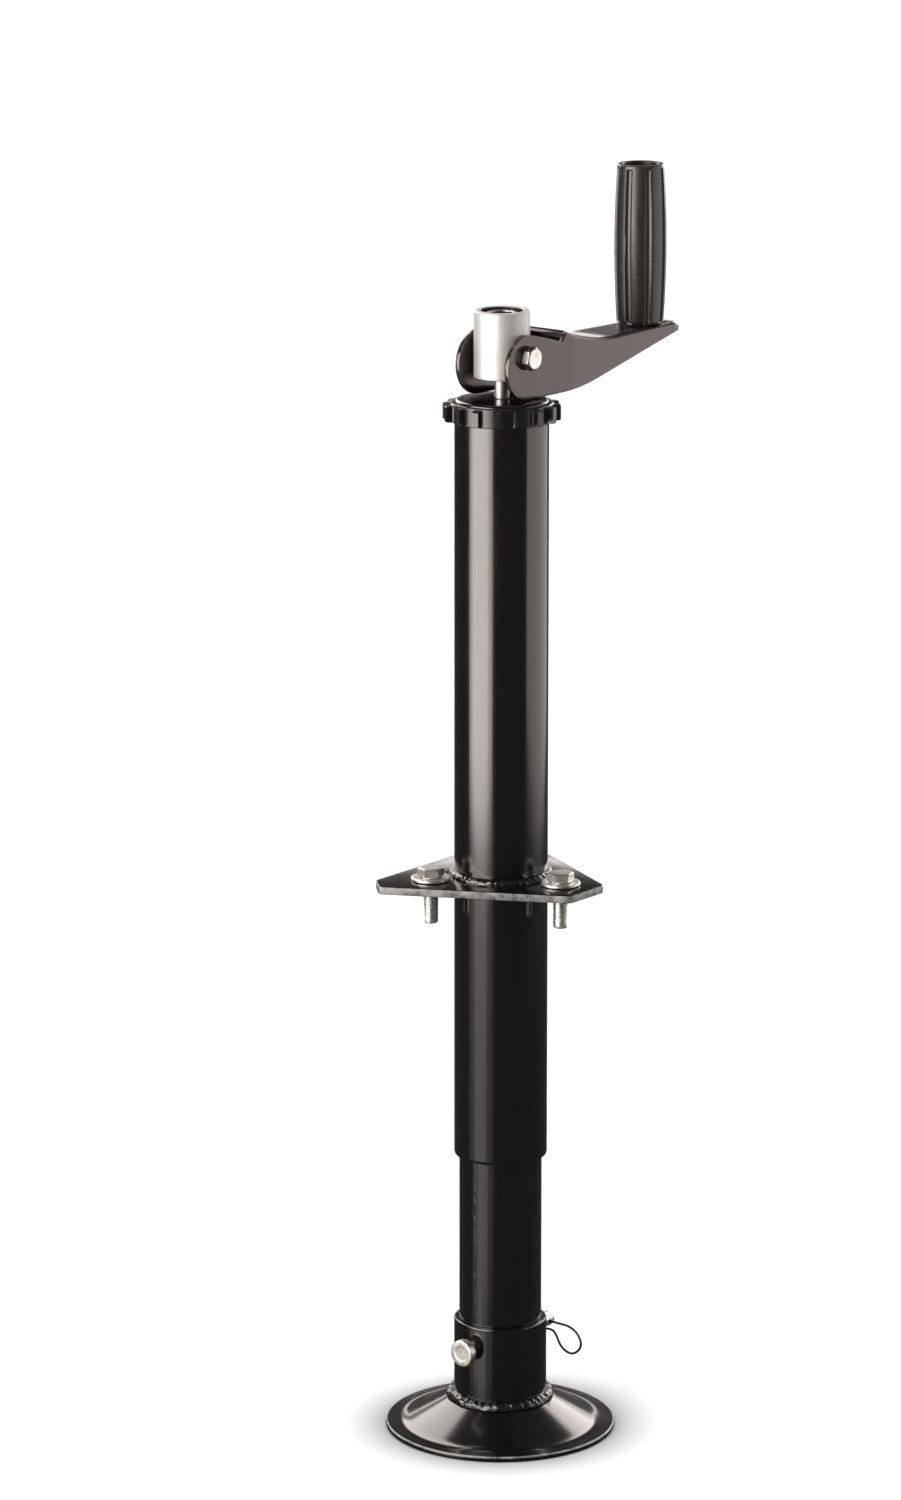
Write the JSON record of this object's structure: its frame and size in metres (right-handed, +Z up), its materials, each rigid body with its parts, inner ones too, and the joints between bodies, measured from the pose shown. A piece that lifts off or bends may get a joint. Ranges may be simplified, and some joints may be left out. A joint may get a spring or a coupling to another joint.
{
  "type": "trailer tongue jack",
  "caption": "Upright telescoping jack with a triangular bolt-on flange, a fold-over crank with a turning grip, and a round foot held by a cross pin.",
  "frame": {"origin": "middle of the foot's base, on the axis of the two tubes", "axes": "+Z up along the tubes; +X forward along the trailer's tongue, over the flange's narrow nose; +Y to the trailer's left, along the crank arm at rest"},
  "size_m": [0.142, 0.241, 0.7751],
  "materials": {
    "gloss_paint": "gloss black powder coat",
    "weld_paint": "gloss black paint over a rough weld bead",
    "arm_paint": "gloss black powder coat on pressed steel",
    "collar_plastic": "moulded black plastic",
    "grip_plastic": "satin moulded black plastic",
    "zinc_plate": "bright zinc plate",
    "hub_alloy": "satin cast alloy",
    "bearing_steel": "ground steel",
    "screw_steel": "turned steel",
    "bronze": "machined bronze",
    "spring_wire": "blackened spring wire"
  },
  "bodies": {
    "housing": {"outer_tube": "gloss_paint", "mounting_plate": "gloss_paint", "plate_weld": "weld_paint", "flange_bolt_front": "zinc_plate", "flange_bolt_left": "zinc_plate", "flange_bolt_right": "zinc_plate", "bolt_washer_front": "zinc_plate", "bolt_washer_left": "zinc_plate", "bolt_washer_right": "zinc_plate", "ribbed_collar": "collar_plastic", "top_plate": "gloss_paint", "shaft_bush": "bronze", "race_upper": "bearing_steel"},
    "bearing": {"bearing_balls": "bearing_steel"},
    "screw": {"lead_screw": "screw_steel", "thrust_collar": "screw_steel", "collar_pin": "bearing_steel", "race_lower": "bearing_steel", "hub": "hub_alloy", "hub_pin": "bearing_steel", "hub_insert": "zinc_plate"},
    "arm": {"crank_arm": "arm_paint", "pivot_bolt": "zinc_plate", "pivot_washer": "zinc_plate", "pivot_nut": "zinc_plate", "grip_spindle": "screw_steel", "grip_retainer": "zinc_plate"},
    "grip": {"grip": "grip_plastic"},
    "ram": {"inner_tube": "gloss_paint", "drive_nut": "bronze", "foot_sleeve": "gloss_paint", "foot_plate": "gloss_paint", "foot_weld": "weld_paint"},
    "foot_pin": {"foot_pin": "zinc_plate", "pin_clip": "spring_wire"}
  },
  "joints": [
    {"name": "crank_spin", "type": "hinge", "parent": "housing", "child": "screw", "pos_m": [0, 0, 0.66], "axis": [0, 0, -1], "range_deg": [-7086.6, 18000]},
    {"name": "ram_slide", "type": "slide", "parent": "housing", "child": "ram", "axis": [0, 0, -1], "range_m": [-0.1, 0.254]},
    {"name": "bearing_roll", "type": "hinge", "parent": "housing", "child": "bearing", "pos_m": [0, 0, 0.63], "axis": [0, 0, -1], "range_deg": [-3543.3, 9000]},
    {"name": "arm_fold", "type": "hinge", "parent": "screw", "child": "arm", "pos_m": [0, 0, 0.674], "axis": [1, 0, 0], "range_deg": [0, 180]},
    {"name": "grip_spin", "type": "hinge", "parent": "arm", "child": "grip", "pos_m": [0, 0.138, 0.72], "axis": [0, 0, 1], "continuous": true},
    {"name": "pin_turn", "type": "hinge", "parent": "ram", "child": "foot_pin", "pos_m": [0, 0, 0.0555], "axis": [0, 1, 0], "continuous": true}
  ],
  "couplings": [
    {"joint": "ram_slide", "follows": "crank_spin", "m_per_rad": 0.00080851},
    {"joint": "bearing_roll", "follows": "crank_spin", "ratio": 0.5}
  ]
}
